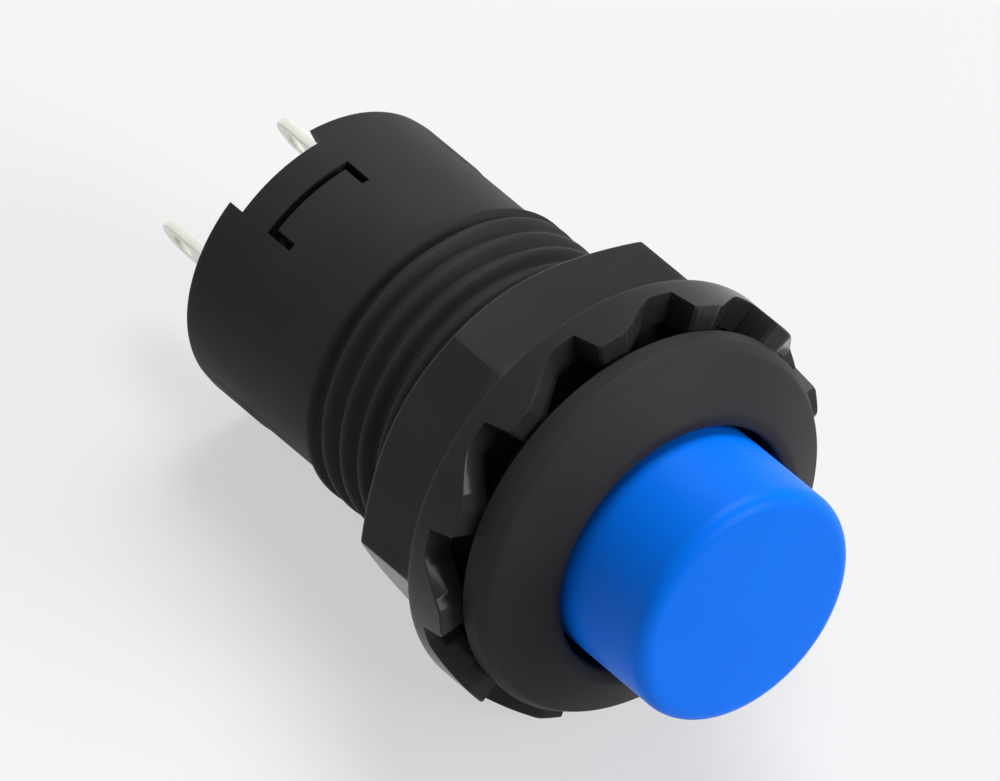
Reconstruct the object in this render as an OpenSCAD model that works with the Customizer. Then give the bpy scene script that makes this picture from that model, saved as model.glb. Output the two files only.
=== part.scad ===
// Latching push button switch with a 12 mm threaded bushing.
//
// Each sub-part is drawn upright, with its front towards +Z, and lie() lays it down so that
// the button faces -Y. The origin is the middle of the bezel's rear face, the panel plane.
// The button, the plunger and the latch are drawn released.

/* [Bezel] */
// Outside diameter of the bezel
bezel_d = 14.8; // [14.2:0.1:20]
// Height of the bezel's upright rim
bezel_rim_h = 0.75; // [0.4:0.05:1.2]
// Height of the bezel at the button's hole
bezel_h = 2.3; // [1.8:0.1:4]
// Width of the bevel between the rim and the sloping face
bezel_bevel = 0.3; // [0.1:0.05:0.5]

/* [Bushing and barrel] */
// Outside diameter of the thread
thread_d = 12; // [11.5:0.1:14.4]
// Length of the bushing behind the panel plane
bushing_len = 10.6; // [10:0.1:16]
// Length of the barrel behind the bushing
barrel_len = 7.15; // [4.8:0.1:10]
// Step from the thread's crest down to the barrel
barrel_step = 0.28; // [0.1:0.02:0.5]
// Wall of the barrel
wall = 0.77; // [0.6:0.01:0.95]
// Rounding of the barrel's rear edge
rear_round = 0.5; // [0.1:0.05:0.6]
// Depth of the shoulder that stops the plunger
shoulder_depth = 3.2; // [2.4:0.1:4]
// Inward step of the shoulder
shoulder_step = 0.22; // [0.15:0.01:0.4]
// Width of the two keyways in the bore
keyway_w = 1.3; // [0.9:0.1:2]
// Depth of the keyways
keyway_depth = 0.33; // [0.2:0.01:0.4]
// Height of the low ribs on the barrel
rib_h = 0.08; // [0.05:0.01:0.3]
// Width of the ribs
rib_w = 2; // [0.6:0.1:2.5]
// Length of the ribs
rib_len = 3; // [1:0.1:4]

/* [Snap tongues] */
// Width of each tongue, over its slots
tongue_w = 3.58; // [3:0.02:5]
// Distance from the rear edge to the end of the tongue
tongue_edge = 2.5; // [2:0.05:3]
// Length of the tongue's side slots
tongue_len = 0.95; // [0.5:0.05:2]
// Width of the slots
tongue_slot = 0.3; // [0.3:0.05:0.6]
// Depth of the notches in the rear edge
notch_depth = 0.48; // [0.2:0.02:0.6]

/* [Push button] */
// Height of the button over the bezel
button_out = 4.05; // [3.4:0.05:6]
// Rounding of the button's edge
button_round = 0.65; // [0.2:0.05:1]
// Rise of the button's face towards its middle
button_crown = 0.12; // [0:0.02:0.4]
// Wall of the button's skirt
button_wall = 1; // [0.7:0.05:1.2]
// Thickness of the button's face
button_face = 1.3; // [0.9:0.1:2]
// Gap between the button and its hole
button_play = 0.12; // [0.05:0.01:0.2]
// Gap between the button's skirt and the plunger's hub
hub_play = 0.05; // [0.02:0.01:0.1]
// Height of the snap bead round the hub
bead_h = 0.1; // [0.05:0.01:0.15]

/* [Plunger and latch] */
// Travel from released to fully pressed
press_travel = 3; // [2:0.1:3.2]
// Travel at which the latch holds
latch_travel = 2; // [1.6:0.1:2.2]
// Thickness of the plunger's flange
flange_h = 1; // [0.8:0.1:1.5]
// Gap between the flange and the bore
flange_play = 0.1; // [0.05:0.01:0.15]
// Gap left in front of the flange
stop_gap = 0.1; // [0.05:0.01:0.2]
// Width of the plunger's body
slider_w = 4.6; // [4.2:0.1:5.2]
// Thickness of the plunger's body
slider_t = 2.6; // [2:0.1:3]
// Length of the plunger's hub in the button
hub_len = 5.3; // [3:0.1:5.5]
// Diameter of the latch wire
wire_d = 0.5; // [0.4:0.05:0.6]
// Side play of the wire in its track
track_play = 0.09; // [0.05:0.01:0.12]
// Sideways swing of the wire's tip
latch_swing = 1.4; // [1.1:0.05:1.5]
// Depth of the track on its first branch
track_depth = 0.5; // [0.3:0.05:0.6]
// Drop at each step of the track's floor
track_step = 0.2; // [0.1:0.02:0.25]
// Gap between the wire's leg and the plunger
leg_gap = 0.3; // [0.1:0.05:0.5]
// Inside radius of the wire's bends
bend_r = 0.2; // [0.1:0.05:0.4]
// Thickness of the latch's leaf spring
leaf_t = 0.15; // [0.1:0.01:0.2]
// Width of the leaf spring
leaf_w = 1.4; // [1:0.1:1.6]

/* [Nut] */
// Width across the nut's flats
nut_af = 13; // [12.8:0.1:16]
// Diameter over the nut's turned corners
nut_corner_d = 14.9; // [14:0.1:17]
// Length of the nut, over its teeth
nut_len = 6.45; // [5:0.05:8]
// Diameter of the flange at its teeth
nut_flange_d = 16.5; // [15.5:0.1:20]
// Diameter of the flange at its rear
nut_flange_rear_d = 16.2; // [15:0.1:19.5]
// Length of the flange
nut_flange_len = 2.55; // [2:0.05:4]
// Length of the flare behind the flange
nut_flare_len = 0.45; // [0.3:0.05:2.5]
// Number of saw teeth
nut_teeth = 12; // [8:1:16]
// Depth of the notches between the teeth
nut_tooth_h = 1.2; // [0.8:0.05:1.8]
// Thickness of the toothed ring
nut_ring_t = 1.25; // [0.8:0.05:1.6]
// Gap between the nut's bore and the thread
nut_play = 0.08; // [0.03:0.01:0.1]
// Gap between the teeth and the bezel
nut_gap = 0.15; // [0.05:0.05:4]

/* [Contacts] */
// Opening between the contacts when released
contact_gap = 1.2; // [0.8:0.1:1.4]
// Distance between the two contacts
contact_pitch = 3.9; // [3.8:0.1:4.4]
// Diameter of a contact tip
tip_d = 1.1; // [0.8:0.1:1.2]
// Height of a contact tip
tip_h = 0.22; // [0.15:0.01:0.3]
// Thickness of the contact bridge
bridge_t = 0.25; // [0.15:0.01:0.4]
// Width of the contact bridge
bridge_w = 1.4; // [1.2:0.1:1.6]
// Diameter of the plunger's post
post_d = 1.3; // [1:0.1:1.4]
// Gap between the post and the bridge
post_play = 0.1; // [0.05:0.01:0.1]

/* [Terminals and base] */
// Distance between the two terminals
lug_pitch = 5.4; // [5.2:0.1:6]
// Width of a terminal
lug_w = 1.5; // [1.2:0.1:1.6]
// Thickness of a terminal
lug_t = 0.35; // [0.25:0.05:0.5]
// Length of a terminal behind the barrel
lug_out = 5.2; // [4:0.1:8]
// Diameter of the terminal's hole
lug_hole_d = 0.9; // [0.5:0.05:0.9]
// Distance from the terminal's end to its hole
lug_hole_in = 1.1; // [0.8:0.05:2]
// Thickness of the base
base_h = 2.5; // [2.3:0.1:4]
// Gap between the base and the bore
base_play = 0.06; // [0.03:0.01:0.1]
// Gap round a terminal in the base
lug_play = 0.03; // [0.01:0.01:0.05]

/* [Springs] */
// Diameter of the return spring's wire
return_wire_d = 0.4; // [0.3:0.05:0.45]
// Number of turns of the return spring
return_turns = 8; // [6:1:10]
// Gap between the return spring and the bore
return_gap = 0.35; // [0.2:0.05:0.4]
// Diameter of the contact spring's wire
contact_wire_d = 0.2; // [0.15:0.05:0.25]
// Number of turns of the contact spring
contact_turns = 6; // [4:1:7]

/* [Lie] */
// Turn of the housing about its axis
housing_turn = 22.2; // [0:0.1:360]
// Turn of the nut about its axis
nut_turn = 32.9; // [0:0.1:60]

/* [Hidden] */
$fn = 96;
over = 1;                                              // how far a cut runs past a face

black = [0.1, 0.1, 0.11];
nut_black = [0.16, 0.16, 0.17];
button_blue = [0.11, 0.43, 0.94];
natural_white = [0.88, 0.87, 0.83];
spring_steel = [0.62, 0.63, 0.65];
tinned_brass = [0.86, 0.83, 0.74];
bronze = [0.72, 0.52, 0.3];
silver = [0.85, 0.86, 0.87];

bezel_r = bezel_d / 2;
thread_r = thread_d / 2;
barrel_r = thread_r - barrel_step;
cavity_r = barrel_r - wall;
guide_r = cavity_r - shoulder_step;
rear_z = -bushing_len - barrel_len;
shoulder_z = -shoulder_depth;

// The plunger hangs from the shoulder, and the button sits on its flange.
flange_front = shoulder_z - stop_gap;
flange_rear = flange_front - flange_h;
button_r = guide_r - button_play;
button_front = bezel_h + button_out;
hub_r = button_r - button_wall - hub_play;
bead_z = flange_front + hub_len * 0.75;
key_w = keyway_w - 0.2;
key_r = cavity_r + keyway_depth - 0.08;

// The base closes the barrel, level with the bottom of the notches.
base_rear = rear_z + notch_depth + 0.02;
base_top = base_rear + base_h;
base_r = cavity_r - base_play;
tongue_z = rear_z + tongue_edge;                       // rear side of the cross slot
spring_out_r = cavity_r - return_gap;
spring_mean_r = spring_out_r - return_wire_d / 2;
spring_in_r = spring_out_r - return_wire_d;

// Contacts, from the base forwards.
pad_top = base_top + lug_t;
fixed_tip_top = pad_top + tip_h;
bridge_bottom = fixed_tip_top + contact_gap + tip_h;
bridge_top = bridge_bottom + bridge_t;
tip_x = contact_pitch / 2;
post_r = post_d / 2;
bridge_hole_r = post_r + post_play;
head_front = bridge_bottom - 0.12;
head_h = 0.35;
head_r = bridge_hole_r + 0.2;
well_r = head_r + 0.15;
well_bottom = head_front - head_h - press_travel - 0.15;

// The latch wire swings about a journal in the base's tower, and its tip runs in the heart
// track. Places on the track are taken from the tip's place with the button released.
wire_r = wire_d / 2;
track_w = wire_d + 2 * track_play;
leg_y = slider_t / 2 + leg_gap + wire_r;
pivot_z = base_top + 1;
tower_front = pivot_z + 1.4;
tower_y = leg_y + wire_r + 0.1;
tower_w = 1.8;
tower_out = sqrt(pow(spring_in_r, 2) - pow(tower_w / 2, 2)) - 0.25;
track_top = flange_rear - 0.35 - track_w / 2;          // the highest that the tip may reach
tip_z = track_top - 0.1 - press_travel + swing_drop(latch_swing, track_top - press_travel - pivot_z);
pin_len = tip_z - pivot_z;
swing_deg = asin(latch_swing / pin_len);
slider_rear = tip_z - track_w / 2 - 0.5;
tip_depth = track_depth - 0.05;

// How far a wire of length len comes back when its tip swings aside.
function swing_drop(swing, len) = len - sqrt(len * len - swing * swing);

// Place of the tip on the plunger, [across, along], after a travel of s.
function tip_path(s) =
    let (a = swing_deg * s / press_travel)
    [-pin_len * sin(a), s - pin_len * (1 - cos(a))];

track_a = [0, 0];
track_b = tip_path(press_travel);
track_c = [0, latch_travel];
track_d = [-track_b[0], track_b[1]];

// Nut, from its teeth rearwards.
nut_front = -nut_gap;
nut_rear = nut_front - nut_len;
nut_bore_r = thread_r + nut_play;
nut_tooth_pitch = 360 / nut_teeth;
nut_ring_in = nut_flange_d / 2 - nut_ring_t;
nut_tooth_phase = 6.5;                                  // from a corner to a tooth's steep side
pitch_len = nut_flange_d / 2 * nut_tooth_pitch * PI / 180;
nut_chamfer = 0.4;

// Points of an arc about [x, y], from angle a to angle b.
function arc(x, y, r, a, b, steps = 6) =
    [for (i = [0:steps]) let (t = a + (b - a) * i / steps) [x + r * cos(t), y + r * sin(t)]];

// Lays an upright sub-part down with its front towards -Y, turned about its own axis.
module lie(turn = housing_turn) {
    rotate([90, 0, 0])
        rotate([0, 0, turn])
            children();
}

// A cylinder between two heights.
module disc(r, low, high) {
    translate([0, 0, low])
        cylinder(r = r, h = high - low);
}

// A box between two corners.
module block(low, high) {
    translate(low)
        cube(high - low);
}

// Copies of a shape on the two sides of the axis.
module both_sides() {
    for (a = [0, 180])
        rotate([0, 0, a])
            children();
}

// ---- Housing: bezel, threaded bushing and barrel, moulded as one ----

// Outline of the bezel from the middle of its face down to the panel plane.
function bezel_outline() = concat(
    [[0, bezel_h]],
    [[guide_r + 0.25, bezel_h]],
    [[bezel_r - bezel_bevel, bezel_rim_h + bezel_bevel]],
    arc(bezel_r - bezel_bevel, bezel_rim_h, bezel_bevel, 75, 0, 4),
    [[bezel_r, 0]]);

// Outline of the bushing, plain at the thread's crests.
function bushing_outline() =
    [[thread_r, 0], [thread_r, -bushing_len + 0.1], [thread_r - 0.1, -bushing_len]];

function barrel_outline() = concat(
    [[barrel_r, -bushing_len]],
    arc(barrel_r - rear_round, rear_z + rear_round, rear_round, 0, -90),
    [[0, rear_z]]);

// A low rib beside a keyway, which follows the barrel's round.
module barrel_rib() {
    span = rib_w / barrel_r * 180 / PI;
    rotate([0, 0, 1])
        translate([0, 0, rear_z + rear_round])
            rotate_extrude(angle = span)
                translate([barrel_r - 0.4, 0])
                    square([0.4 + rib_h, rib_len - rear_round]);
}

// The C-shaped slot that frees a snap tongue, and the notch behind it in the rear edge.
module tongue_cuts() {
    half = tongue_w / 2;
    far = thread_r + over;
    near = cavity_r - 0.6;
    block([-half, near, tongue_z - tongue_slot], [half, far, tongue_z]);
    for (side = [-1, 1])
        translate([side * (half - tongue_slot / 2), 0, 0])
            block([-tongue_slot / 2, near, tongue_z - over / 4],
                  [tongue_slot / 2, far, tongue_z + tongue_len]);
    block([-half, near, rear_z - over], [half, far, rear_z + notch_depth]);
}

module housing() {
    color(black) lie() difference() {
        union() {
            rotate_extrude() polygon(concat(bezel_outline(), bushing_outline(), barrel_outline()));
            both_sides() barrel_rib();
        }
        disc(guide_r, rear_z, bezel_h + over);
        translate([0, 0, bezel_h - 0.2])
            cylinder(r1 = guide_r, r2 = guide_r + 0.2 + over, h = 0.2 + over);
        disc(cavity_r, rear_z - over, shoulder_z);
        both_sides()
            block([cavity_r - 0.5, -keyway_w / 2, rear_z - over],
                  [cavity_r + keyway_depth, keyway_w / 2, shoulder_z]);
        both_sides() tongue_cuts();
    }
}

// ---- Push button: a moulded cap that snaps over the plunger's hub ----

module push_button() {
    skirt_in = button_r - button_wall;
    color(button_blue) lie() rotate_extrude() polygon(concat(
        [for (i = [0:5])
            let (r = (button_r - button_round) * i / 5)
            [r, button_front + button_crown * (1 - pow(i / 5, 2))]],
        arc(button_r - button_round, button_front - button_round, button_round, 75, 0, 5),
        [[button_r, flange_front], [skirt_in, flange_front]],
        [[skirt_in, bead_z - 0.45], [skirt_in + bead_h + 0.03, bead_z - 0.3],
         [skirt_in + bead_h + 0.03, bead_z + 0.3], [skirt_in, bead_z + 0.45]],
        [[skirt_in, button_front - button_face], [0, button_front - button_face]]));
}

// ---- Plunger: hub, keyed flange, slider with the heart track, post for the bridge ----

// A round spot of the track, cut into the slider's face.
module track_spot(place, depth) {
    translate([place[0], slider_t / 2 - depth, tip_z + place[1]])
        rotate([-90, 0, 0])
            cylinder(r = track_w / 2, h = depth + over, $fn = 48);
}

// A straight run of the track between two places.
module track_run(from, to, depth) {
    across = to - from;
    translate([from[0], slider_t / 2 - depth, tip_z + from[1]])
        rotate([0, -atan2(across[1], across[0]), 0])
            block([0, 0, -track_w / 2], [norm(across), depth + over, track_w / 2]);
    track_spot(from, depth);
    track_spot(to, depth);
}

// The run from d back to a, whose floor climbs so that the tip drops off its end.
module return_run(from, to, deep, shallow) {
    across = to - from;
    len = norm(across);
    face = slider_t / 2;
    translate([from[0], 0, tip_z + from[1]])
        rotate([0, -atan2(across[1], across[0]), 0])
            translate([0, 0, -track_w / 2])
                linear_extrude(track_w)
                    polygon([[0, face - deep], [len, face - shallow],
                             [len, face + over], [0, face + over]]);
}

// Heart track. The tip runs a to b on the first press, rests at c while latched, goes to d on
// the second press and comes back to a. Each change of run is a step down in the floor.
module heart_track() {
    steps = 3;
    for (i = [0:steps - 1])
        track_run(tip_path(press_travel * i / steps), tip_path(press_travel * (i + 1) / steps),
                  track_depth);
    track_run(track_b, track_c, track_depth + track_step);
    track_run(track_c, track_d, track_depth + 2 * track_step);
    track_spot(track_d, track_depth + 3 * track_step);
    return_run(track_d, track_a, track_depth + 3 * track_step, track_depth - track_step);
}

module slider_block() {
    chamfer = 0.3;
    half_w = slider_w / 2;
    half_t = slider_t / 2;
    translate([0, 0, slider_rear])
        linear_extrude(flange_rear - slider_rear)
            polygon([[half_w - chamfer, -half_t], [half_w, -half_t + chamfer],
                     [half_w, half_t - chamfer], [half_w - chamfer, half_t],
                     [-half_w + chamfer, half_t], [-half_w, half_t - chamfer],
                     [-half_w, -half_t + chamfer], [-half_w + chamfer, -half_t]]);
}

module plunger() {
    hub_top = flange_front + hub_len;
    color(natural_white) lie() difference() {
        union() {
            disc(cavity_r - flange_play, flange_rear, flange_front);
            both_sides()
                block([cavity_r - 0.6, -key_w / 2, flange_rear], [key_r, key_w / 2, flange_front]);
            rotate_extrude()
                polygon([[0, flange_front], [hub_r, flange_front], [hub_r, bead_z - 0.2],
                         [hub_r + bead_h, bead_z - 0.05], [hub_r + bead_h, bead_z + 0.05],
                         [hub_r, bead_z + 0.2], [hub_r, hub_top - 0.3],
                         [hub_r - 0.3, hub_top], [0, hub_top]]);
            slider_block();
            disc(post_r, head_front - head_h, slider_rear);
            translate([0, 0, head_front - head_h])
                cylinder(r1 = post_r - 0.1, r2 = head_r, h = head_h);
        }
        disc(hub_r - 0.8, flange_front - 0.2, hub_top + over);
        block([-hub_r - over, -0.5, bead_z - 1.6], [hub_r + over, 0.5, hub_top + over]);
        heart_track();
        // the split that lets the post's head through the bridge
        block([-post_d, -0.16, head_front - head_h - over], [post_d, 0.16, head_front + 1.3]);
        // cored back of the slider
        block([-slider_w / 2 + 0.7, -slider_t / 2 - over, slider_rear + 0.7],
              [slider_w / 2 - 0.7, -slider_t / 2 + 0.7, flange_rear - 0.4]);
    }
}

// ---- Latch: steel wire pin and the leaf spring that keeps its tip on the track's floor ----

// A quarter turn of wire in the plane X = 0. It starts at the origin going forwards, and ends
// going towards +Y or, with side = -1, towards -Y.
module wire_bend(side) {
    r = bend_r + wire_r;
    mirror([0, side < 0 ? 1 : 0, 0])
        translate([0, r, 0])
            rotate([0, -90, 0])
                rotate([0, 0, -90])
                    rotate_extrude(angle = 90)
                        translate([r, 0])
                            circle(r = wire_r, $fn = 32);
}

module wire_run(from, to) {
    along = to - from;
    translate(from)
        rotate([atan2(along[2], along[1]) - 90, 0, 0])
            cylinder(r = wire_r, h = norm(along), $fn = 32);
}

module latch_pin() {
    r = bend_r + wire_r;
    color(spring_steel) lie() {
        wire_run([0, leg_y, pivot_z + r], [0, leg_y, tip_z - r]);
        translate([0, leg_y, tip_z - r]) wire_bend(-1);
        wire_run([0, leg_y - r, tip_z], [0, slider_t / 2 - tip_depth, tip_z]);
        translate([0, leg_y, pivot_z + r]) mirror([0, 0, 1]) wire_bend(1);
        wire_run([0, leg_y + r, pivot_z], [0, tower_out - 0.2, pivot_z]);
    }
}

leaf_y = tower_y + 0.45;
leaf_foot = tower_front - 0.9;
leaf_touch = [leg_y + wire_r + 0.04, tower_front + 1.6];

module latch_leaf() {
    color(bronze) lie()
        translate([-leaf_w / 2, 0, 0])
            rotate([90, 0, 90])
                linear_extrude(leaf_w)
                    polygon([[leaf_y, leaf_foot], [leaf_y + leaf_t, leaf_foot],
                             [leaf_y + leaf_t, tower_front + 0.15],
                             leaf_touch + [leaf_t, 0], leaf_touch + [leaf_t + 0.3, 0.6],
                             leaf_touch + [0.3, 0.6], leaf_touch, [leaf_y, tower_front + 0.1]]);
}

// ---- Springs: round wire wound on a helix, with closed ends ----

// Height of a coil's centre line after n of its turns, with one closed turn at each end.
function coil_z(n, turns, wire, len) =
    let (closed = wire * 1.12,
         open = (len - wire - 2 * closed) / (turns - 2))
    n < 1 ? closed * n : n > turns - 1 ? len - wire - closed * (turns - n) : closed + open * (n - 1);

// A coil spring that stands on z = 0 and is len long.
module coil(mean_r, wire, turns, len, per_turn, sides) {
    count = turns * per_turn;
    rings = [for (i = [0:count])
        let (n = i / per_turn,
             t = 360 * n,
             z = coil_z(n, turns, wire, len) + wire / 2)
        [for (k = [0:sides - 1])
            let (a = 360 * k / sides,
                 r = mean_r + wire / 2 * cos(a))
            [r * cos(t), r * sin(t), z + wire / 2 * sin(a)]]];
    faces = concat(
        [[for (k = [0:sides - 1]) k]],
        [for (i = [0:count - 1], k = [0:sides - 1])
            let (p = i * sides, q = p + sides, n = (k + 1) % sides)
            [p + k, q + k, q + n, p + n]],
        [[for (k = [sides - 1:-1:0]) count * sides + k]]);
    polyhedron([for (ring = rings, p = ring) p], faces, convexity = 10);
}

module return_spring() {
    gap = 0.03;
    color(spring_steel) lie()
        translate([0, 0, base_top + gap])
            coil(spring_mean_r, return_wire_d, return_turns, flange_rear - base_top - 2 * gap, 24, 8);
}

module contact_spring() {
    gap = 0.03;
    color(spring_steel) lie()
        translate([0, 0, bridge_top + gap])
            coil(post_r + 0.12 + contact_wire_d / 2, contact_wire_d, contact_turns,
                 slider_rear - bridge_top - 2 * gap, 16, 6);
}

// ---- Contacts: a bridge with two silver tips, and a tip on each terminal ----

// A contact tip that stands on z = 0, with a slightly domed face.
module tip() {
    r = tip_d / 2;
    rotate_extrude()
        polygon([[0, 0], [r, 0], [r, tip_h - 0.08], [r - 0.1, tip_h - 0.03],
                 [r * 0.5, tip_h - 0.005], [0, tip_h]], $fn = 48);
}

module bridge_tip(side) {
    color(silver) lie()
        translate([side * tip_x, 0, bridge_bottom])
            mirror([0, 0, 1])
                tip();
}

module terminal_tip(side) {
    color(silver) lie()
        translate([side * tip_x, 0, pad_top])
            tip();
}

module contact_bridge() {
    end_r = bridge_w / 2;
    end_x = tip_x + tip_d / 2 + 0.12 - end_r;
    color(bronze) lie() difference() {
        union() {
            block([-end_x, -end_r, bridge_bottom], [end_x, end_r, bridge_top]);
            for (side = [-1, 1])
                translate([side * end_x, 0, 0])
                    disc(end_r, bridge_bottom, bridge_top);
            disc(bridge_hole_r + 0.4, bridge_bottom, bridge_top);
        }
        disc(bridge_hole_r, bridge_bottom - over, bridge_top + over);
    }
}

// ---- Terminals: stamped strips, bent over the base, with a rounded and pierced lug ----

module terminal(side) {
    half_w = lug_w / 2;
    outer = lug_pitch / 2 + lug_t / 2;
    tip_end = rear_z - lug_out;
    color(tinned_brass) lie()
        rotate([0, 0, side > 0 ? 0 : 180])
            difference() {
                union() {
                    block([outer - lug_t, -half_w, tip_end + half_w], [outer, half_w, pad_top]);
                    translate([outer - lug_t, 0, tip_end + half_w])
                        rotate([0, 90, 0])
                            cylinder(r = half_w, h = lug_t);
                    block([tip_x - tip_d / 2 - 0.12, -half_w, base_top], [outer, half_w, pad_top]);
                }
                translate([outer - lug_t - over, 0, tip_end + lug_hole_in])
                    rotate([0, 90, 0])
                        cylinder(r = lug_hole_d / 2, h = lug_t + 2 * over, $fn = 48);
            }
}

// ---- Base: carries the terminals, the latch's tower and the guides of the bridge ----

module terminal_base() {
    outer = lug_pitch / 2 + lug_t / 2;
    rib_x = tip_x + 0.25;
    rib_y = bridge_w / 2 + 0.15;
    color(black) lie() difference() {
        union() {
            disc(base_r, base_rear, base_top);
            both_sides()
                block([cavity_r - 0.6, -key_w / 2, base_rear], [key_r, key_w / 2, base_top]);
            // nibs that snap behind the tongues
            for (side = [-1, 1])
                block([-tongue_w / 2 + 0.6, side > 0 ? base_r - 0.6 : -cavity_r - 0.55,
                       tongue_z - tongue_slot + 0.05],
                      [tongue_w / 2 - 0.6, side > 0 ? cavity_r + 0.55 : -base_r + 0.6,
                       tongue_z - 0.05]);
            // tower for the latch's journal
            block([-tower_w / 2, tower_y, base_top - 0.1], [tower_w / 2, tower_out, tower_front]);
            // ribs beside the ends of the bridge
            for (x = [-1, 1], y = [-1, 1])
                translate([x * rib_x, y * (rib_y + 0.25), 0])
                    block([-0.3, -0.25, base_top - 0.1], [0.3, 0.25, bridge_top + 0.3]);
            // collars where the terminals leave
            both_sides()
                block([outer - lug_t - 0.45, -lug_w / 2 - 0.45, base_rear - 0.25],
                      [outer + 0.45, lug_w / 2 + 0.45, base_rear + 0.1]);
        }
        disc(well_r, well_bottom, base_top + over);
        both_sides()
            block([outer - lug_t - lug_play, -lug_w / 2 - lug_play, base_rear - over],
                  [outer + lug_play, lug_w / 2 + lug_play, base_top + over]);
        translate([0, tower_y - over, pivot_z])
            rotate([-90, 0, 0])
                cylinder(r = wire_r + 0.03, h = tower_out - tower_y + 2 * over, $fn = 48);
        block([-leaf_w / 2 - 0.03, leaf_y - 0.03, leaf_foot - 0.05],
              [leaf_w / 2 + 0.03, leaf_y + leaf_t + 0.03, tower_front + over]);
    }
}

// ---- Nut: hexagon with a flange, whose saw teeth grip the panel ----

// One notch between two teeth: steep on one side, a narrow floor, and a ramp up to the next.
module tooth_notch() {
    steep_len = pitch_len * 0.06;
    floor_len = pitch_len * 0.12;
    ramp_end = pitch_len * 0.97;
    rotate([90, 0, 90])
        translate([0, nut_front, nut_ring_in - 0.6])
            linear_extrude(nut_ring_t + 0.6 + over)
                polygon([[0, over], [0, 0], [steep_len, -nut_tooth_h],
                         [steep_len + floor_len, -nut_tooth_h], [ramp_end, 0], [ramp_end, over]]);
}

module panel_nut() {
    flange_rear_z = nut_front - nut_flange_len;
    flare_rear_z = flange_rear_z - nut_flare_len;
    corner_r = nut_corner_d / 2;
    color(nut_black) lie(nut_turn) difference() {
        union() {
            intersection() {
                translate([0, 0, nut_rear])
                    cylinder(r = nut_af / 2 / cos(30), h = nut_len - nut_flange_len / 2, $fn = 6);
                rotate_extrude()
                    polygon([[0, nut_rear], [nut_af / 2 - 0.05, nut_rear],
                             [corner_r, nut_rear + nut_chamfer], [corner_r, nut_front], [0, nut_front]]);
            }
            rotate_extrude()
                polygon([[0, flare_rear_z], [nut_af / 2 - 0.1, flare_rear_z],
                         [nut_flange_rear_d / 2, flange_rear_z],
                         [nut_flange_d / 2, nut_front - 0.2], [nut_flange_d / 2 - 0.1, nut_front],
                         [0, nut_front]]);
        }
        disc(nut_bore_r, nut_rear - over, nut_front + over);
        disc(nut_ring_in, nut_front - nut_tooth_h, nut_front + over);
        translate([0, 0, nut_rear - over])
            cylinder(r1 = nut_bore_r + over + 0.2, r2 = nut_bore_r, h = over + 0.2);
        for (i = [0:nut_teeth - 1])
            rotate([0, 0, nut_tooth_phase + i * nut_tooth_pitch])
                tooth_notch();
    }
}

housing();
push_button();
plunger();
latch_pin();
latch_leaf();
return_spring();
contact_spring();
contact_bridge();
bridge_tip(-1);  // bridge_tip_left
bridge_tip(1);  // bridge_tip_right
terminal_base();
terminal(-1);  // terminal_left
terminal(1);  // terminal_right
terminal_tip(-1);  // terminal_tip_left
terminal_tip(1);  // terminal_tip_right
panel_nut();
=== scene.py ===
import math

import bmesh
import bpy
from mathutils import Matrix, Vector


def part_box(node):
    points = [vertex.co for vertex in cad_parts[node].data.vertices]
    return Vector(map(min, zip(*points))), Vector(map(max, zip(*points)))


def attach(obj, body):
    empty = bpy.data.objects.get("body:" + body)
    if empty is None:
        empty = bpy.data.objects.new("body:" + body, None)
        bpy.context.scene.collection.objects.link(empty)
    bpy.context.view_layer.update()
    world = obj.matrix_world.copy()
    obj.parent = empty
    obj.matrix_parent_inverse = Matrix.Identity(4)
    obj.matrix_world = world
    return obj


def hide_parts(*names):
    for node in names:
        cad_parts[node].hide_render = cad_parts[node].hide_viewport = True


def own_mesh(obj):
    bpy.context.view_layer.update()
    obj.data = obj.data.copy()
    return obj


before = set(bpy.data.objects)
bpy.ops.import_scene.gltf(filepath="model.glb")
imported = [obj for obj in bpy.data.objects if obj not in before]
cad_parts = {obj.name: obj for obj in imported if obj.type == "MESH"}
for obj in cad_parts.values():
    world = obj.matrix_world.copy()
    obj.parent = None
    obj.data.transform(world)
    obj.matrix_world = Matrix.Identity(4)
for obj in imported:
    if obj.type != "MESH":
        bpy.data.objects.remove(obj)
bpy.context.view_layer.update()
scene = bpy.context.scene
scene.view_settings.view_transform = "Standard"


# ---- Camera ----
# The switch lies on its side, seen from above its left front with a long lens, so that it
# runs from the lugs at the upper left to the button at the lower right.

azimuth = math.radians(-37.9)
elevation = math.radians(40.3)
camera_away = 1.0
view_width = 0.03436
sensor_width = 36.0
axis_at_centre = 0.0078
centre_right = 0.00025
centre_up = 0.0003

to_camera = Vector((math.sin(azimuth) * math.cos(elevation),
                    -math.cos(azimuth) * math.cos(elevation),
                    math.sin(elevation)))
right = Vector((math.cos(azimuth), math.sin(azimuth), 0))
up = to_camera.cross(right)
aim = Vector((0, axis_at_centre, 0)) + right * centre_right + up * centre_up

camera_data = bpy.data.cameras.new("camera")
camera_data.sensor_width = sensor_width
camera_data.lens = sensor_width * camera_away / view_width
camera_data.clip_start = 0.01
camera_data.clip_end = 10
camera = bpy.data.objects.new("camera", camera_data)
camera.matrix_world = Matrix.Translation(aim + to_camera * camera_away) @ Matrix(
    (right, up, to_camera)).transposed().to_4x4()
scene.collection.objects.link(camera)
scene.camera = camera


# ---- Floor and light ----
# A pale matt table under the switch, which rests on the nut's teeth and on the barrel's rear
# edge, so the table rises towards the lugs. Two large soft lamps hang over it.

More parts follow.
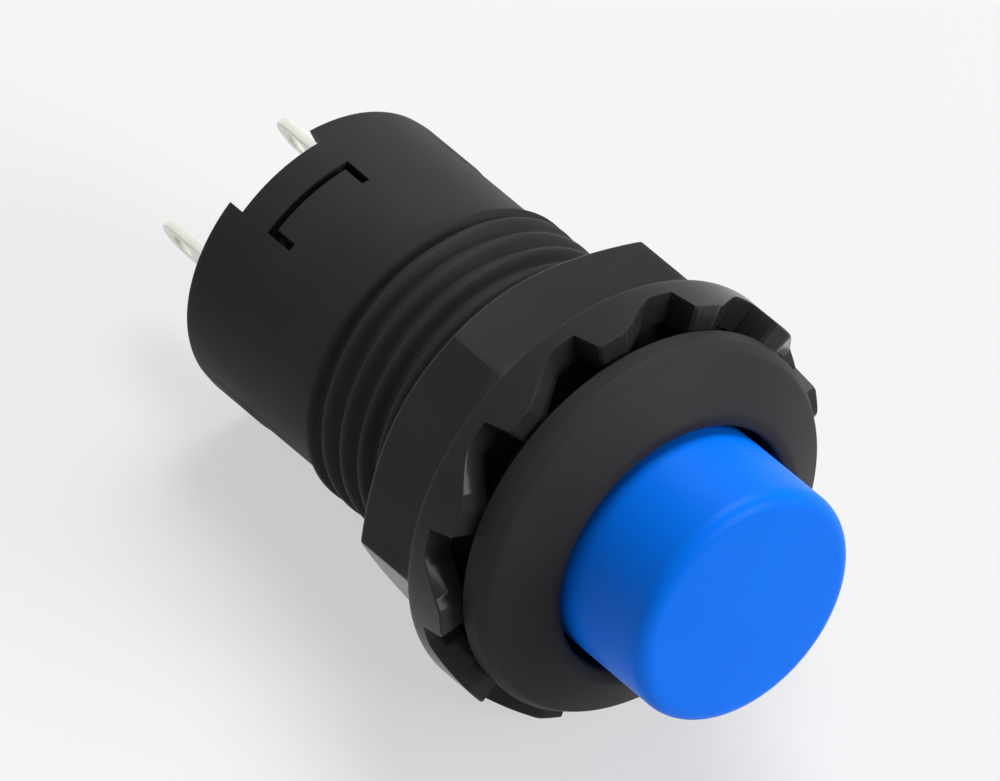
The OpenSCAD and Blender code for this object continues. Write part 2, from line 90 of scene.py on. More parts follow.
nut_low, nut_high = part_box("panel_nut")
case_low, case_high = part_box("housing")
barrel_radius = 0.00572
teeth_radius = (nut_high.z - nut_low.z) / 2
gap_under_teeth = 0.00003
extra_fall = 0.0001
rear_contact_inset = 0.0005
tilt = math.atan2(teeth_radius - barrel_radius + extra_fall,
                  case_high.y - rear_contact_inset - nut_low.y)
rest_point = Vector((0, nut_low.y, -teeth_radius - gap_under_teeth))


def any_seen_ray(tree):
    """1 for what the camera sees, straight or in gloss or glass, and 0 for the light itself."""
    path = tree.nodes.new("ShaderNodeLightPath")
    seen = path.outputs["Is Camera Ray"]
    for other in ("Is Glossy Ray", "Is Transmission Ray"):
        either = tree.nodes.new("ShaderNodeMath")
        either.operation = "MAXIMUM"
        tree.links.new(seen, either.inputs[0])
        tree.links.new(path.outputs[other], either.inputs[1])
        seen = either.outputs[0]
    return seen


def pale_table_material():
    """Matt off-white. Most of what the camera sees is its own light, so shadows stay faint."""
    own_light_share = 0.64
    material = bpy.data.materials.new("pale_table")
    material.use_nodes = True
    nodes, links = material.node_tree.nodes, material.node_tree.links
    lit = nodes["Principled BSDF"]
    lit.inputs["Base Color"].default_value = (0.84, 0.84, 0.84, 1)
    lit.inputs["Roughness"].default_value = 0.9
    lit.inputs["Specular IOR Level"].default_value = 0
    pale = nodes.new("ShaderNodeEmission")
    pale.inputs["Color"].default_value = (0.888, 0.888, 0.888, 1)
    share = nodes.new("ShaderNodeMath")
    share.operation = "MULTIPLY"
    share.inputs[1].default_value = own_light_share
    links.new(any_seen_ray(material.node_tree), share.inputs[0])
    both = nodes.new("ShaderNodeMixShader")
    links.new(share.outputs[0], both.inputs["Fac"])
    links.new(lit.outputs[0], both.inputs[1])
    links.new(pale.outputs[0], both.inputs[2])
    links.new(both.outputs[0], nodes["Material Output"].inputs["Surface"])
    return material


table_mesh = bpy.data.meshes.new("table")
half_side = 1.5
table_mesh.from_pydata([(x * half_side, y * half_side, 0)
                        for x, y in ((-1, -1), (1, -1), (1, 1), (-1, 1))],
                       [], [(0, 1, 2, 3)])
table_mesh.transform(Matrix.Translation(rest_point) @ Matrix.Rotation(tilt, 4, "X"))
table_mesh.materials.append(pale_table_material())
table = bpy.data.objects.new("table", table_mesh)
scene.collection.objects.link(table)


def lamp(name, place, size, watts):
    """A round soft lamp that points at the switch."""
    data = bpy.data.lights.new(name, "AREA")
    data.shape = "DISK"
    data.size = size
    data.energy = watts
    lamp_object = bpy.data.objects.new(name, data)
    lamp_object.location = place
    lamp_object.rotation_euler = (aim - Vector(place)).to_track_quat("-Z", "Y").to_euler()
    scene.collection.objects.link(lamp_object)


lamp("key_lamp", (0.42, 0.12, 1.02), 0.75, 11.0)
lamp("front_lamp", (0.5, -0.95, 0.35), 0.6, 7.8)

world = bpy.data.worlds.new("studio")
world.use_nodes = True
sky = world.node_tree
lighting_sky = sky.nodes["Background"]
seen_sky = sky.nodes.new("ShaderNodeBackground")
for background, strength in ((lighting_sky, 0.17), (seen_sky, 0.9)):
    background.inputs["Color"].default_value = (1, 1, 1, 1)
    background.inputs["Strength"].default_value = strength
either_sky = sky.nodes.new("ShaderNodeMixShader")
sky.links.new(any_seen_ray(sky), either_sky.inputs["Fac"])
sky.links.new(lighting_sky.outputs[0], either_sky.inputs[1])
sky.links.new(seen_sky.outputs[0], either_sky.inputs[2])
sky.links.new(either_sky.outputs[0], sky.nodes["World Output"].inputs["Surface"])
scene.world = world


# ---- Terminals ----
# Two brass strips, tin plated, stamped with a rounded and pierced lug and bent over inside
# the base, where each carries a contact tip. They are pressed into slots in the base.

housing_turn = math.radians(22.2)
mm = 0.001


def laid(turn):
    """Turns a mesh made upright in millimetres, front up, into its place with the front at -Y."""
    lay_down = Matrix.Rotation(math.pi / 2, 4, "X")
    return Matrix.Scale(mm, 4) @ lay_down @ Matrix.Rotation(turn, 4, "Z")


def noise(nodes, links, coords, scale, detail, stretch=(1, 1, 1)):
    """A noise texture over the object, finer along the directions with a larger stretch."""
    mapping = nodes.new("ShaderNodeMapping")
    mapping.inputs["Scale"].default_value = stretch
    links.new(coords.outputs["Object"], mapping.inputs["Vector"])
    texture = nodes.new("ShaderNodeTexNoise")
    texture.inputs["Scale"].default_value = scale
    texture.inputs["Detail"].default_value = detail
    links.new(mapping.outputs["Vector"], texture.inputs["Vector"])
    return texture


def ramp(nodes, links, source, low, high, colour_low, colour_high):
    """Colours, or greys, between two levels of a texture."""
    steps = nodes.new("ShaderNodeValToRGB")
    steps.color_ramp.elements[0].position = low
    steps.color_ramp.elements[1].position = high
    steps.color_ramp.elements[0].color = (*colour_low, 1)
    steps.color_ramp.elements[1].color = (*colour_high, 1)
    links.new(source, steps.inputs["Fac"])
    return steps.outputs["Color"]


def metal(name, dark, bright, rough, grain_scale, stretch, metallic=1):
    """Drawn or rolled metal: its colour and roughness vary along fine lines."""
    material = bpy.data.materials.new(name)
    material.use_nodes = True
    nodes, links = material.node_tree.nodes, material.node_tree.links
    surface = nodes["Principled BSDF"]
    surface.inputs["Metallic"].default_value = metallic
    coords = nodes.new("ShaderNodeTexCoord")
    grain = noise(nodes, links, coords, grain_scale, 4, stretch)
    cloud = noise(nodes, links, coords, 900, 3)
    links.new(ramp(nodes, links, cloud.outputs["Fac"], 0.35, 0.65, dark, bright),
              surface.inputs["Base Color"])
    links.new(ramp(nodes, links, grain.outputs["Fac"], 0.3, 0.7,
                   (rough * 0.75,) * 3, (rough * 1.3,) * 3),
              surface.inputs["Roughness"])
    bump = nodes.new("ShaderNodeBump")
    bump.inputs["Strength"].default_value = 0.25
    bump.inputs["Distance"].default_value = 0.000004
    links.new(grain.outputs["Fac"], bump.inputs["Height"])
    links.new(bump.outputs["Normal"], surface.inputs["Normal"])
    return material


def piece_from(shape, name):
    """A new object in the scene from a bmesh, which is then freed."""
    mesh = bpy.data.meshes.new(name)
    shape.to_mesh(mesh)
    shape.free()
    piece = bpy.data.objects.new(name, mesh)
    scene.collection.objects.link(piece)
    return piece


def softened(node, width, material):
    """A CAD node's own shape with its sharp edges slightly rounded, as a new piece."""
    shape = bmesh.new()
    shape.from_mesh(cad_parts[node].data)
    bmesh.ops.remove_doubles(shape, verts=shape.verts, dist=1e-7)
    bmesh.ops.dissolve_limit(shape, angle_limit=math.radians(0.5), verts=shape.verts,
                             edges=shape.edges)
    piece = piece_from(shape, node + "_finish")
    if width:
        bevel = piece.modifiers.new("edges", "BEVEL")
        bevel.width = width
        bevel.segments = 2
        bevel.limit_method = "ANGLE"
        bevel.angle_limit = math.radians(40)
    return made_real(piece, material)


def made_real(piece, material):
    """Swaps a piece's mesh for the result of its modifiers, smooth but for its sharp edges."""
    bpy.context.view_layer.update()
    evaluated = piece.evaluated_get(bpy.context.evaluated_depsgraph_get())
    result = bpy.data.meshes.new_from_object(evaluated)
    piece.modifiers.clear()
    piece.data = result
    result.materials.clear()
    result.materials.append(material)
    result.shade_smooth()
    result.set_sharp_from_angle(angle=math.radians(35))
    return piece


def fitted(piece, body, slot, *nodes):
    """Ties a finished piece to its body and hides the CAD nodes that it stands for. The slot,
    which names its finish, is not used.
    """
    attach(piece, body)
    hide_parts(*nodes)
    return piece


tin_plate = metal("tin_plate", (0.97, 0.96, 0.87), (0.99, 0.985, 0.92), 0.35, 2500,
                  (1, 0.08, 1), 0.05)
silver = metal("silver_contact", (0.7, 0.69, 0.67), (0.86, 0.85, 0.83), 0.28, 6000, (1, 1, 1))
for side in ("left", "right"):
    terminal, terminal_tip = "terminal_" + side, "terminal_tip_" + side
    fitted(softened(terminal, 0.00005, tin_plate), "case", "tinned_brass", terminal)
    fitted(softened(terminal_tip, 0, silver), "case", "silver", terminal_tip)


# ---- Base ----
# Black nylon plug that closes the barrel. It holds the terminals, and snaps in by two nibs
# under the housing's tongues, kept low so that they stay out of sight in the slots.

def moulded(name, colour, paler, rough, texture_depth, shine=0.2):
    """Moulded plastic: a fine spark-eroded grain, with slow changes in shade and gloss."""
    material = bpy.data.materials.new(name)
    material.use_nodes = True
    nodes, links = material.node_tree.nodes, material.node_tree.links
    surface = nodes["Principled BSDF"]
    surface.inputs["Specular IOR Level"].default_value = shine
    coords = nodes.new("ShaderNodeTexCoord")
    flow = noise(nodes, links, coords, 260, 3)
    grain = noise(nodes, links, coords, 7000, 2)
    links.new(ramp(nodes, links, flow.outputs["Fac"], 0.3, 0.7, colour, paler),
              surface.inputs["Base Color"])
    links.new(ramp(nodes, links, flow.outputs["Fac"], 0.35, 0.7,
                   (rough * 0.94,) * 3, (rough * 1.06,) * 3),
              surface.inputs["Roughness"])
    bump = nodes.new("ShaderNodeBump")
    bump.inputs["Strength"].default_value = 0.35
    bump.inputs["Distance"].default_value = texture_depth
    links.new(grain.outputs["Fac"], bump.inputs["Height"])
    links.new(bump.outputs["Normal"], surface.inputs["Normal"])
    return material


black_nylon = moulded("black_nylon", (0.028, 0.027, 0.029), (0.034, 0.033, 0.035), 0.5,
                      0.000008, 0.05)
base = softened("terminal_base", 0.00006, black_nylon)
nib_radius = 0.0051
for point in base.data.vertices:
    out = math.hypot(point.co.x, point.co.z)
    if out > nib_radius:
        point.co.x *= nib_radius / out
        point.co.z *= nib_radius / out
fitted(base, "case", "base_plastic", "terminal_base")


# ---- Latch ----
# Bent steel wire whose tip follows the heart-shaped track, and the bronze leaf spring that
# presses it to the track's floor. The wire swings in a hole in the base's tower.

spring_wire = metal("spring_wire", (0.3, 0.31, 0.33), (0.44, 0.45, 0.47), 0.3, 3000, (1, 0.1, 1))
bronze = metal("bronze_strip", (0.5, 0.26, 0.1), (0.62, 0.34, 0.15), 0.32, 3000, (0.1, 1, 1))
fitted(softened("latch_pin", 0, spring_wire), "latch", "spring_steel", "latch_pin")
fitted(softened("latch_leaf", 0, bronze), "case", "bronze", "latch_leaf")


# ---- Contact bridge ----
# Bronze strip on the plunger's post with a riveted silver tip at each end. It joins the two
# terminals when the plunger goes in.

fitted(softened("contact_bridge", 0.00003, bronze), "bridge", "bronze", "contact_bridge")
for side in ("left", "right"):
    fitted(softened("bridge_tip_" + side, 0, silver), "bridge", "silver", "bridge_tip_" + side)


# ---- Springs ----
# Round steel wire coiled with closed ends. The large one drives the plunger out, and the
# small one lets the bridge give when its tips have met.

def new_tree(name, takes_mesh, **numbers):
    """A geometry nodes tree with named number inputs, a Material input and a mesh output."""
    tree = bpy.data.node_groups.new(name, "GeometryNodeTree")
    socket = tree.interface.new_socket
    if takes_mesh:
        socket("Mesh", in_out="INPUT", socket_type="NodeSocketGeometry")
    for label, value in numbers.items():
        number = socket(label.replace("_", " ").title(), in_out="INPUT",
                        socket_type="NodeSocketFloat")
        number.default_value = value
    socket("Material", in_out="INPUT", socket_type="NodeSocketMaterial")
    socket("Mesh", in_out="OUTPUT", socket_type="NodeSocketGeometry")
    return tree, tree.nodes.new("NodeGroupInput").outputs


def maths_in(tree):
    """A function that adds a math node to a tree, fed by numbers and sockets."""
    def maths(operation, *values):
        node = tree.nodes.new("ShaderNodeMath")
        node.operation = operation
        for socket, value in zip(node.inputs, values):
            if isinstance(value, (int, float)):
                socket.default_value = value
            else:
                tree.links.new(value, socket)
        return node.outputs[0]
    return maths


def end_tree(tree, inputs, geometry):
    """Ends a tree with real geometry that has the Material input on it."""
    real = tree.nodes.new("GeometryNodeRealizeInstances")
    tree.links.new(geometry, real.inputs[0])
    paint = tree.nodes.new("GeometryNodeSetMaterial")
    tree.links.new(real.outputs[0], paint.inputs[0])
    tree.links.new(inputs["Material"], paint.inputs["Material"])
    tree.links.new(paint.outputs[0], tree.nodes.new("NodeGroupOutput").inputs[0])
    return tree


def coil_tree():
    """Geometry nodes: wire wound on a helix, whose end turns lie close together."""
    steps_in_turn = 64
    closed_pitch = 2.2  # in wire radii
    tree, inputs = new_tree("wound_wire", False, coil_radius=0.004, wire_radius=0.0002,
                            turns=8, length=0.01)
    add, link, maths = tree.nodes.new, tree.links.new, maths_in(tree)
    turns, wire, coil = inputs["Turns"], inputs["Wire Radius"], inputs["Coil Radius"]
    line = add("GeometryNodeMeshLine")
    line.mode = "OFFSET"
    link(maths("ADD", maths("MULTIPLY", turns, steps_in_turn), 1), line.inputs["Count"])
    turn = maths("DIVIDE", add("GeometryNodeInputIndex").outputs[0], steps_in_turn)
    angle = maths("MULTIPLY", turn, 2 * math.pi)
    closed = maths("MULTIPLY", wire, closed_pitch)
    ends = maths("ADD", maths("MULTIPLY", wire, 2), maths("MULTIPLY", closed, 2))
    open_turn = maths("DIVIDE", maths("SUBTRACT", inputs["Length"], ends),
                      maths("SUBTRACT", turns, 2))
    last_start = maths("SUBTRACT", turns, 1)
    first = maths("MULTIPLY", maths("MINIMUM", turn, 1), closed)
    middle_turns = maths("MAXIMUM", maths("SUBTRACT", maths("MINIMUM", turn, last_start), 1), 0)
    middle = maths("MULTIPLY", middle_turns, open_turn)
    last = maths("MULTIPLY", maths("MAXIMUM", maths("SUBTRACT", turn, last_start), 0), closed)
    height = maths("ADD", maths("ADD", first, middle), maths("ADD", last, wire))
    place = add("ShaderNodeCombineXYZ")
    link(maths("MULTIPLY", coil, maths("COSINE", angle)), place.inputs[0])
    link(maths("MULTIPLY", coil, maths("SINE", angle)), place.inputs[1])
    link(height, place.inputs[2])
    move = add("GeometryNodeSetPosition")
    link(line.outputs[0], move.inputs["Geometry"])
    link(place.outputs[0], move.inputs["Position"])
    curve = add("GeometryNodeMeshToCurve")
    link(move.outputs[0], curve.inputs[0])
    section = add("GeometryNodeCurvePrimitiveCircle")
    section.inputs["Resolution"].default_value = 14
    link(wire, section.inputs["Radius"])
    sweep = add("GeometryNodeCurveToMesh")
    link(curve.outputs[0], sweep.inputs["Curve"])
    link(section.outputs[0], sweep.inputs["Profile Curve"])
    sweep.inputs["Fill Caps"].default_value = True
    return end_tree(tree, inputs, sweep.outputs[0])


def set_inputs(modifier, tree, **values):
    """Sets a geometry nodes modifier's inputs by their sockets' identifiers."""
    sockets = {item.name: item.identifier for item in tree.interface.items_tree
               if item.in_out == "INPUT"}
    for name, value in values.items():
        modifier[sockets[name.replace("_", " ").title()]] = value


wound_wire = coil_tree()


def spring(node, wire_radius, turns):
    """A coil as wide as the CAD spring, between the two faces that it stands between."""
    low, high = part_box(node)
    piece = piece_from(bmesh.new(), node + "_wire")
    modifier = piece.modifiers.new("wire", "NODES")
    modifier.node_group = wound_wire
    set_inputs(modifier, wound_wire, coil_radius=(high.x - low.x) / 2 - wire_radius,
               wire_radius=wire_radius, turns=turns, length=high.y - low.y, material=spring_wire)
    made_real(piece, spring_wire)
    piece.data.transform(Matrix.Translation((0, high.y, 0)) @ Matrix.Rotation(math.pi / 2, 4, "X"))
    return piece


return_spring = spring("return_spring", 0.0002, 8.0)
fitted(return_spring, "case", "spring_steel", "return_spring")
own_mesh(return_spring)

contact_spring = spring("contact_spring", 0.0001, 6.0)
fitted(contact_spring, "bridge", "spring_steel", "contact_spring")
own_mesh(contact_spring)


# ---- Plunger ----
# Natural white acetal. The button snaps over its hub, its flange stops behind the housing's
# shoulder, and the heart track is moulded into one face of its body.

acetal = moulded("natural_acetal", (0.7, 0.68, 0.61), (0.77, 0.75, 0.69), 0.4, 0.000005)
fitted(softened("plunger", 0.00004, acetal), "button", "white_plastic", "plunger")


# ---- Housing ----
# One black nylon moulding: domed bezel, bushing with a rolled-looking 1 mm thread, and smooth
# barrel. C-shaped slots free its two snap tongues, and notches cut the rear edge behind them.

def rounded(corners):
    """A closed outline with rounded corners, from (radius, height, fillet) at each corner."""
    steps = 5
    points = []
    count = len(corners)
    for i, (x, y, fillet) in enumerate(corners):
        here = Vector((x, y))
        if not fillet:
            points.append(here)
            continue
        before = (Vector(corners[i - 1][:2]) - here).normalized()
        after = (Vector(corners[(i + 1) % count][:2]) - here).normalized()
        half_angle = before.angle(after) / 2
        reach = fillet / math.tan(half_angle)
        centre = here + (before + after).normalized() * fillet / math.sin(half_angle)
        start = here + before * reach - centre
        turn = start.angle_signed(here + after * reach - centre)
        for k in range(steps + 1):
            spin = Matrix.Rotation(-turn * k / steps, 2)
            points.append(centre + spin @ start)
    return points


def turned(name, outline, sides):
    """A closed outline of (radius, height) points revolved about the upright axis."""
    shape = bmesh.new()
    rings = []
    for point in outline:
        if abs(point[0]) < 1e-6:
            rings.append([shape.verts.new((0, 0, point[1]))] * sides)
        else:
            angles = [2 * math.pi * k / sides for k in range(sides)]
            rings.append([shape.verts.new((point[0] * math.cos(angle),
                                           point[0] * math.sin(angle), point[1]))
                          for angle in angles])
    for i, ring in enumerate(rings):
        above = rings[(i + 1) % len(rings)]
        for k in range(sides):
            n = (k + 1) % sides
            corners = list(dict.fromkeys((ring[k], ring[n], above[n], above[k])))
            if len(corners) > 2:
                shape.faces.new(corners)
    bmesh.ops.recalc_face_normals(shape, faces=shape.faces)
    return piece_from(shape, name)


def thread_tree():
    """Geometry nodes: presses a right-hand thread into a turned shape that stands upright."""
    crest_sharpness = 1.3
    crest_play = 0.03
    tree, inputs = new_tree("rolled_thread", True, crest_radius=6, depth=0.3, pitch=1, top=0,
                            bottom=-10, run_out=0.5)
    add, link, maths = tree.nodes.new, tree.links.new, maths_in(tree)
    place = add("ShaderNodeSeparateXYZ")
    link(add("GeometryNodeInputPosition").outputs[0], place.inputs[0])
    x, y, z = place.outputs
    radius = maths("SQRT", maths("ADD", maths("MULTIPLY", x, x), maths("MULTIPLY", y, y)))
    phase = maths("FRACT", maths("SUBTRACT", maths("DIVIDE", maths("ARCTAN2", y, x), 2 * math.pi),
                                 maths("DIVIDE", z, inputs["Pitch"])))
    wave = maths("COSINE", maths("MULTIPLY", maths("SUBTRACT", phase, 0.5), 2 * math.pi))
    groove = maths("POWER", maths("MULTIPLY", maths("ADD", wave, 1), 0.5), crest_sharpness)
    from_top = maths("DIVIDE", maths("SUBTRACT", inputs["Top"], z), inputs["Run Out"])
    from_bottom = maths("DIVIDE", maths("SUBTRACT", z, inputs["Bottom"]), inputs["Run Out"])
    fade = maths("MAXIMUM", maths("MINIMUM", maths("MINIMUM", from_top, from_bottom), 1), 0)
    cut = maths("MULTIPLY", maths("MULTIPLY", groove, fade), inputs["Depth"])
    scale = maths("DIVIDE", maths("SUBTRACT", radius, cut), radius)
    moved = add("ShaderNodeCombineXYZ")
    link(maths("MULTIPLY", x, scale), moved.inputs[0])
    link(maths("MULTIPLY", y, scale), moved.inputs[1])
    link(z, moved.inputs[2])
    move = add("GeometryNodeSetPosition")
    link(inputs["Mesh"], move.inputs["Geometry"])
    link(maths("GREATER_THAN", radius, maths("SUBTRACT", inputs["Crest Radius"], crest_play)),
         move.inputs["Selection"])
    link(moved.outputs[0], move.inputs["Position"])
    return end_tree(tree, inputs, move.outputs[0])


def boxes(name, corners):
    """Several boxes as one mesh, each from its lowest and highest corner."""
    shape = bmesh.new()
    for low, high in corners:
        size = Vector(high) - Vector(low)
        place = Matrix.Translation((Vector(high) + Vector(low)) / 2) @ Matrix.Diagonal((*size, 1))
        bmesh.ops.create_cube(shape, size=1, matrix=place)
    return piece_from(shape, name)


bezel_radius = case_high.x / mm
bezel_top = -case_low.y / mm
bezel_shoulder = 1.15
bezel_side_top = 0.7
thread_radius = 6
cavity_radius = 4.95
guide_radius = 4.73
barrel = barrel_radius / mm
rear = -case_high.y / mm
bushing_end = -10.6
shoulder = -3.2
thread_rows = 220
rib_height = 0.04
rib_start, rib_stop = rear + 0.5, rear + 3
rib_from, rib_to = 1, 21  # degrees round the barrel

outline = [Vector((guide_radius, shoulder))]
outline += rounded([(guide_radius, bezel_top, 0.2), (guide_radius + 0.6, bezel_top, 0.5),
                    (bezel_radius - 0.25, bezel_shoulder, 0.45),
                    (bezel_radius, bezel_side_top, 0.25), (bezel_radius, 0, 0.08),
                    (thread_radius, 0, 0)])
outline += [Vector((thread_radius, bushing_end * k / thread_rows)) for k in range(1, thread_rows)]
outline += rounded([(thread_radius, bushing_end, 0.08), (barrel, bushing_end - 0.02, 0.05),
                    (barrel, rib_stop + 0.04, 0), (barrel, rib_stop - 0.04, 0),
                    (barrel, rib_start + 0.06, 0), (barrel, rear, 0.2),
                    (cavity_radius, rear, 0.06), (cavity_radius, shoulder, 0)])
housing = turned("housing_moulding", outline, 192)

# two low ribs, on opposite sides of the barrel
for point in housing.data.vertices:
    x, y, height = point.co
    around = math.degrees(math.atan2(y, x)) % 180
    on_barrel = rib_start < height < rib_stop and math.hypot(x, y) > barrel - 0.01
    if on_barrel and rib_from < around < rib_to:
        point.co = Vector((x, y, 0)) * (1 + rib_height / barrel) + Vector((0, 0, height))

rolled_thread = thread_tree()
thread = housing.modifiers.new("thread", "NODES")
thread.node_group = rolled_thread
set_inputs(thread, rolled_thread, crest_radius=float(thread_radius), depth=0.42, pitch=1.0,
           top=-0.4, bottom=bushing_end + 0.1, run_out=0.25, material=black_nylon)

tongue_half = 1.88
slot_width = 0.3
slot_bottom = rear + 2.5 - slot_width
leg_top = slot_bottom + slot_width + 0.95
notch_depth = 0.8
key_middle, key_half_depth, key_half_width = 4.865, 0.415, 0.65
below_rear = rear - 1
cuts = []
for way in (1, -1):
    near, far = sorted((way * 4.2, way * 7))
    for low, high, bottom, top in (
            (-tongue_half, tongue_half, slot_bottom, slot_bottom + slot_width),
            (-tongue_half, -tongue_half + slot_width, slot_bottom, leg_top),
            (tongue_half - slot_width, tongue_half, slot_bottom, leg_top),
            (-tongue_half, tongue_half, below_rear, rear + notch_depth)):
        cuts.append(((low, near, bottom), (high, far, top)))
    # keyway in the bore, which the plunger's flange slides in
    cuts.append(((way * key_middle - key_half_depth, -key_half_width, below_rear),
                 (way * key_middle + key_half_depth, key_half_width, shoulder)))
cutter = boxes("tongue_cutter", cuts)
slots = housing.modifiers.new("slots", "BOOLEAN")
slots.operation = "DIFFERENCE"
slots.solver = "EXACT"
slots.object = cutter
slots.use_self = True
made_real(housing, black_nylon)
bpy.data.objects.remove(cutter)
housing.data.transform(laid(housing_turn))
fitted(housing, "case", "housing_plastic", "housing")


# ---- Push button ----
# Bright blue moulded cap with a soft edge and a slightly crowned face, snapped over the
# plunger's hub.

blue_plastic = moulded("blue_plastic", (0.0, 0.16, 0.86), (0.0, 0.175, 0.89), 0.4,
                       0.000003, 0.08)
button_low, button_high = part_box("push_button")
button_radius = (button_high.x - button_low.x) / 2 / mm
button_top = -button_low.y / mm
button_bottom = -button_high.y / mm
button_edge = 0.65
button_wall = 1
button_roof = 1.42
crown = 0.12
steps = 12
flat_radius = button_radius - button_edge
edge_height = button_top - crown - button_edge
face = [Vector((0, button_top))]
for k in range(1, steps + 1):
    spread = k / steps
    face.append(Vector((flat_radius * spread, button_top - crown * spread ** 2)))
for k in range(1, steps + 1):
    angle = math.radians(90 * (1 - k / steps))
    face.append(Vector((flat_radius + button_edge * math.cos(angle),
                        edge_height + button_edge * math.sin(angle))))
skirt = rounded([(button_radius, button_bottom, 0.06),
                 (button_radius - button_wall, button_bottom, 0.06),
                 (button_radius - button_wall, button_top - button_roof, 0.2),
                 (0, button_top - button_roof, 0)])
button = turned("push_button_cap", face + skirt, 160)
made_real(button, blue_plastic)
button.data.transform(laid(0))
fitted(button, "button", "button_plastic", "push_button")


# ---- Nut ----
# Glossy black nylon hexagon with a chamfered rear. Its front is a round flange with twelve saw
# teeth, which bite the back of the panel.

nut_turn = math.radians(0.4)
nut_flat = 7.06
nut_corner = 8.15
nut_front = -nut_low.y / mm
nut_rear = -5.9
rear_face_radius = 6.62
chamfer_slope = 1.27
chamfer_top = nut_rear + 1.3
flange_rear = -1.98
flange_radius = teeth_radius / mm
flange_edge = 0.08
ring_inside = 7.0
nut_bore = 6.08
front_break = 0.06
tooth_height = 1.1
tooth_count = 12
columns_in_tooth = 36


def smooth_least(a, b, width):
    """The lesser of two sizes, blended where they are within a width of each other."""
    share = max(width - abs(a - b), 0) / width
    return min(a, b) - share * share * width / 4


def hexagon_radius(angle, height):
    """Radius of the hexagon's side, whose corners are turned round and chamfered at the rear."""
    from_flat = (angle % (math.pi / 3)) - math.pi / 6
    side = smooth_least(nut_flat / math.cos(from_flat), nut_corner, 0.12)
    return smooth_least(side, rear_face_radius + (height - nut_rear) * chamfer_slope, 0.08)


def nut_section(angle):
    """The nut's closed outline at an angle about its axis, as (radius, height) points."""
    rim_top = nut_front - front_break
    tooth_foot = nut_front - 1.4 * tooth_height
    points = [(flange_radius, rim_top - (rim_top - tooth_foot) * k / 10) for k in range(11)]
    for k in range(5):
        bend = math.radians(90 * k / 4)
        points.append((flange_radius - flange_edge * (1 - math.cos(bend)),
                       flange_rear + flange_edge * (1 - math.sin(bend))))
    foot = hexagon_radius(angle, flange_rear)
    foot_limit = flange_radius - flange_edge - 0.005
    fillet = 0.14
    for out, down in ((fillet, 0), (0.04, 0.04), (0, fillet)):
        points.append((min(foot + out, foot_limit), flange_rear - down))
    for high, low, steps in ((flange_rear - fillet, chamfer_top, 4),
                             (chamfer_top, nut_rear + 0.02, 24)):
        heights = (high + (low - high) * k / steps for k in range(1, steps + 1))
        points += [(hexagon_radius(angle, height), height) for height in heights]
    points += [(rear_face_radius - 0.05, nut_rear), (nut_bore + 0.2, nut_rear),
               (nut_bore, nut_rear + 0.2)]
    floor = nut_front - tooth_height
    points += [(nut_bore, floor), (ring_inside, floor)]
    points += [(ring_inside, floor + tooth_height * k / 8) for k in range(1, 8)]
    points += [(ring_inside + front_break, nut_front), (flange_radius - front_break, nut_front)]
    return points


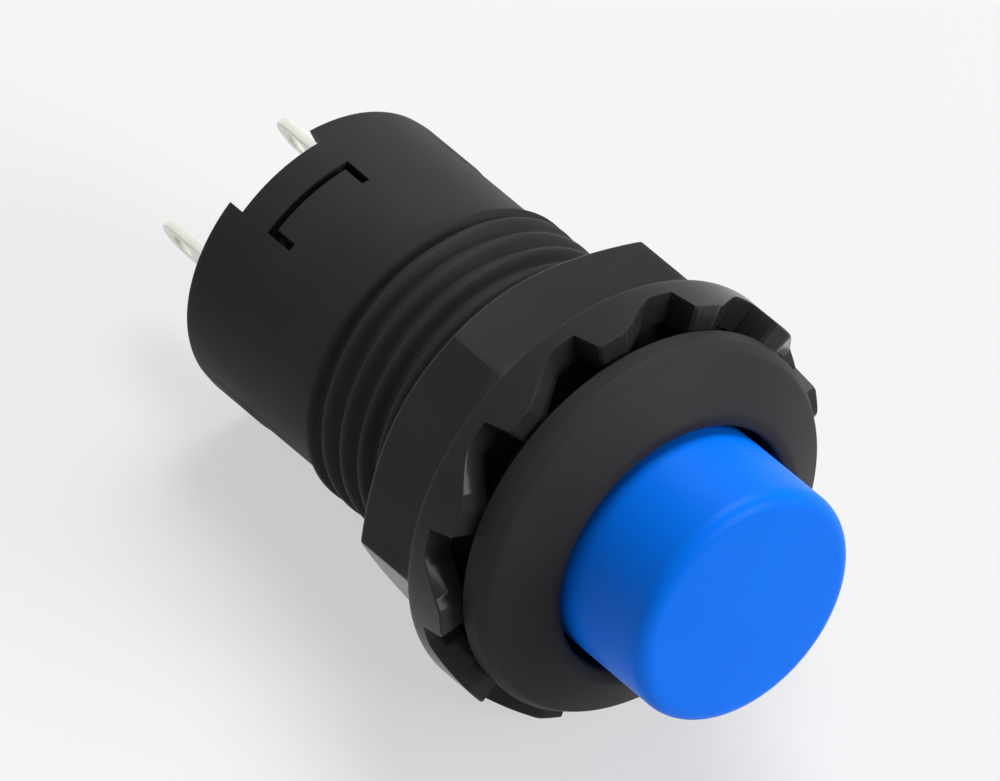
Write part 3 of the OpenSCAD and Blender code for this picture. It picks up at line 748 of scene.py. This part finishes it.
def saw_tooth_tree():
    """Geometry nodes: presses saw-tooth notches into the front rim of an upright ring."""
    reach = 1.35  # how far down the rim is pressed, in depths of a notch
    tree, inputs = new_tree("saw_teeth", True, teeth=12, front=0, depth=1.1, steep_share=0.06,
                            floor_share=0.3, slope_share=0.74, inside_radius=7, first_tooth=0)
    add, link, maths = tree.nodes.new, tree.links.new, maths_in(tree)
    place = add("ShaderNodeSeparateXYZ")
    link(add("GeometryNodeInputPosition").outputs[0], place.inputs[0])
    x, y, z = place.outputs
    radius = maths("SQRT", maths("ADD", maths("MULTIPLY", x, x), maths("MULTIPLY", y, y)))
    turn = maths("DIVIDE", maths("SUBTRACT", maths("ARCTAN2", y, x), inputs["First Tooth"]),
                 2 * math.pi)
    phase = maths("FRACT", maths("MULTIPLY", maths("ADD", turn, 2), inputs["Teeth"]))
    steep_share, floor_share = inputs["Steep Share"], inputs["Floor Share"]
    steep = maths("DIVIDE", maths("SUBTRACT", steep_share, phase), steep_share)
    ramp_up = maths("DIVIDE", maths("SUBTRACT", phase, floor_share),
                    maths("SUBTRACT", inputs["Slope Share"], floor_share))
    notch = maths("SMOOTH_MAX", steep, maths("SMOOTH_MAX", ramp_up, 0, 0.2), 0.1)
    notch = maths("SMOOTH_MIN", notch, 1, 0.1)
    base = maths("SUBTRACT", inputs["Front"], maths("MULTIPLY", inputs["Depth"], reach))
    above = maths("MAXIMUM", maths("SUBTRACT", z, base), 0)
    lowered = maths("SUBTRACT", 1, maths("MULTIPLY", maths("SUBTRACT", 1, notch), 1 / reach))
    moved = add("ShaderNodeCombineXYZ")
    link(x, moved.inputs[0])
    link(y, moved.inputs[1])
    link(maths("ADD", maths("MINIMUM", z, base), maths("MULTIPLY", above, lowered)),
         moved.inputs[2])
    move = add("GeometryNodeSetPosition")
    link(inputs["Mesh"], move.inputs["Geometry"])
    link(maths("GREATER_THAN", radius, maths("SUBTRACT", inputs["Inside Radius"], 0.01)),
         move.inputs["Selection"])
    link(moved.outputs[0], move.inputs["Position"])
    return end_tree(tree, inputs, move.outputs[0])


shape = bmesh.new()
columns = tooth_count * columns_in_tooth
sections = []
for i in range(columns):
    angle = 2 * math.pi * i / columns
    sections.append([shape.verts.new((radius * math.cos(angle), radius * math.sin(angle), height))
                     for radius, height in nut_section(angle)])
for i, section in enumerate(sections):
    beside = sections[(i + 1) % columns]
    for k in range(len(section)):
        n = (k + 1) % len(section)
        shape.faces.new((section[k], section[n], beside[n], beside[k]))
bmesh.ops.recalc_face_normals(shape, faces=shape.faces)
nut = piece_from(shape, "panel_nut_moulding")
nut_nylon = moulded("glossy_black_nylon", (0.021, 0.021, 0.022), (0.026, 0.026, 0.027), 0.22,
                    0.000003, 0.12)
saw_teeth = saw_tooth_tree()
teeth = nut.modifiers.new("teeth", "NODES")
teeth.node_group = saw_teeth
set_inputs(teeth, saw_teeth, teeth=float(tooth_count), front=nut_front, depth=tooth_height,
           steep_share=0.06, floor_share=0.3, slope_share=0.74, inside_radius=ring_inside,
           first_tooth=math.radians(39), material=nut_nylon)
made_real(nut, nut_nylon)
nut.data.transform(laid(nut_turn))
fitted(nut, "nut", "nut_plastic", "panel_nut")
